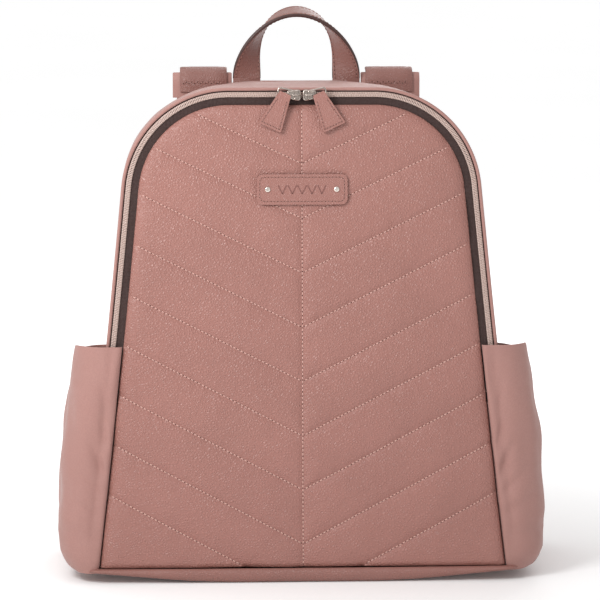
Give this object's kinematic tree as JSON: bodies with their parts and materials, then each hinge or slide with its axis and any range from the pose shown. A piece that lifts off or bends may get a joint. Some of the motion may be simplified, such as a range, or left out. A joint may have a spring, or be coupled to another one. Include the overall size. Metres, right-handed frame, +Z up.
{
  "type": "backpack diaper bag",
  "caption": "Upright backpack diaper bag with a quilted faux-leather front that zips open and folds down, side pockets, a top handle and padded shoulder straps.",
  "frame": {"origin": "middle of the base on the surface the bag stands on", "axes": "+Z up, the quilted front faces -Y, +X to the right seen from the front's left-hand side"},
  "size_m": [0.391, 0.1811, 0.4524],
  "materials": {
    "leather": "dusty rose pebbled faux leather",
    "nylon": "dusty rose matte nylon twill",
    "back_mesh": "dusty rose padded spacer mesh",
    "lining": "light woven polyester lining",
    "zip_tape": "dark brown zip tape",
    "zip_coil": "cream nylon coil",
    "metal": "polished nickel",
    "webbing": "dusty rose woven webbing",
    "elastic": "ribbed elastic",
    "board": "black stiffening board"
  },
  "bodies": {
    "bag": {"front_panel_lower": "leather", "strap_roll_left": "leather", "strap_roll_right": "leather", "base_panel": "leather", "gusset": "nylon", "gusset_binding": "nylon", "gusset_facing": "nylon", "side_pocket_left": "nylon", "side_pocket_right": "nylon", "strap_base_left": "nylon", "strap_base_right": "nylon", "strap_patch_left": "nylon", "strap_patch_right": "nylon", "back_panel": "back_mesh", "gusset_lining": "lining", "base_lining": "lining", "back_lining": "lining", "inner_pocket": "lining", "zip_tape_tail": "zip_tape", "zip_tape_gusset": "zip_tape", "zip_coil_tail": "zip_coil", "zip_coil_gusset": "zip_coil", "zip_end_stops": "metal", "strap_webbing_left": "webbing", "strap_webbing_right": "webbing", "pocket_elastic_left": "elastic", "pocket_elastic_right": "elastic", "base_board": "board"},
    "front_flap": {"front_panel_flap": "leather", "flap_lining": "lining", "zip_tape_flap": "zip_tape", "zip_coil_flap": "zip_coil", "name_plate": "leather", "name_plate_rivets": "metal"},
    "handle": {"top_handle": "leather"},
    "slider_left": {"zip_slider_left": "metal"},
    "link_left": {"pull_link_left": "metal"},
    "tab_left": {"pull_tab_left": "leather"},
    "strap_left": {"shoulder_strap_left": "nylon"},
    "buckle_left": {"strap_buckle_left": "metal"},
    "slider_right": {"zip_slider_right": "metal"},
    "link_right": {"pull_link_right": "metal"},
    "tab_right": {"pull_tab_right": "leather"},
    "strap_right": {"shoulder_strap_right": "nylon"},
    "buckle_right": {"strap_buckle_right": "metal"}
  },
  "joints": [
    {"name": "front_open", "type": "hinge", "parent": "bag", "child": "front_flap", "pos_m": [0, -0.05785, 0.196], "axis": [1, 0, 0], "range_deg": [0, 95]},
    {"name": "handle_swing", "type": "hinge", "parent": "bag", "child": "handle", "pos_m": [0, 0.07, 0.3945], "axis": [1, 0, 0], "range_deg": [-60, 60], "stiffness_Nm_per_rad": 0.05},
    {"name": "zip_run_left", "type": "slide", "parent": "front_flap", "child": "slider_left", "axis": [-1, 0, 0], "range_m": [0, 0.045]},
    {"name": "link_swing_left", "type": "hinge", "parent": "slider_left", "child": "link_left", "pos_m": [-0.0052, -0.04253, 0.3861], "axis": [0, 0.0872, 0.9962], "range_deg": [0, 90]},
    {"name": "pull_lift_left", "type": "hinge", "parent": "link_left", "child": "tab_left", "pos_m": [-0.01363, -0.04251, 0.38623], "axis": [-0.9063, 0.0368, 0.421], "range_deg": [0, 100]},
    {"name": "strap_lift_left", "type": "hinge", "parent": "bag", "child": "strap_left", "pos_m": [-0.077, 0.08, 0.39], "axis": [1, 0, 0], "range_deg": [0, 15]},
    {"name": "buckle_tilt_left", "type": "hinge", "parent": "strap_left", "child": "buckle_left", "pos_m": [-0.077, 0.0855, 0.1095], "axis": [1, 0, 0], "range_deg": [0, 35]},
    {"name": "zip_run_right", "type": "slide", "parent": "front_flap", "child": "slider_right", "axis": [1, 0, 0], "range_m": [0, 0.045]},
    {"name": "link_swing_right", "type": "hinge", "parent": "slider_right", "child": "link_right", "pos_m": [0.0052, -0.04253, 0.3861], "axis": [0, -0.0872, -0.9962], "range_deg": [0, 90]},
    {"name": "pull_lift_right", "type": "hinge", "parent": "link_right", "child": "tab_right", "pos_m": [0.01363, -0.04251, 0.38623], "axis": [-0.9063, -0.0368, -0.421], "range_deg": [0, 100]},
    {"name": "strap_lift_right", "type": "hinge", "parent": "bag", "child": "strap_right", "pos_m": [0.077, 0.08, 0.39], "axis": [1, 0, 0], "range_deg": [0, 15]},
    {"name": "buckle_tilt_right", "type": "hinge", "parent": "strap_right", "child": "buckle_right", "pos_m": [0.077, 0.0855, 0.1095], "axis": [1, 0, 0], "range_deg": [0, 35]}
  ]
}
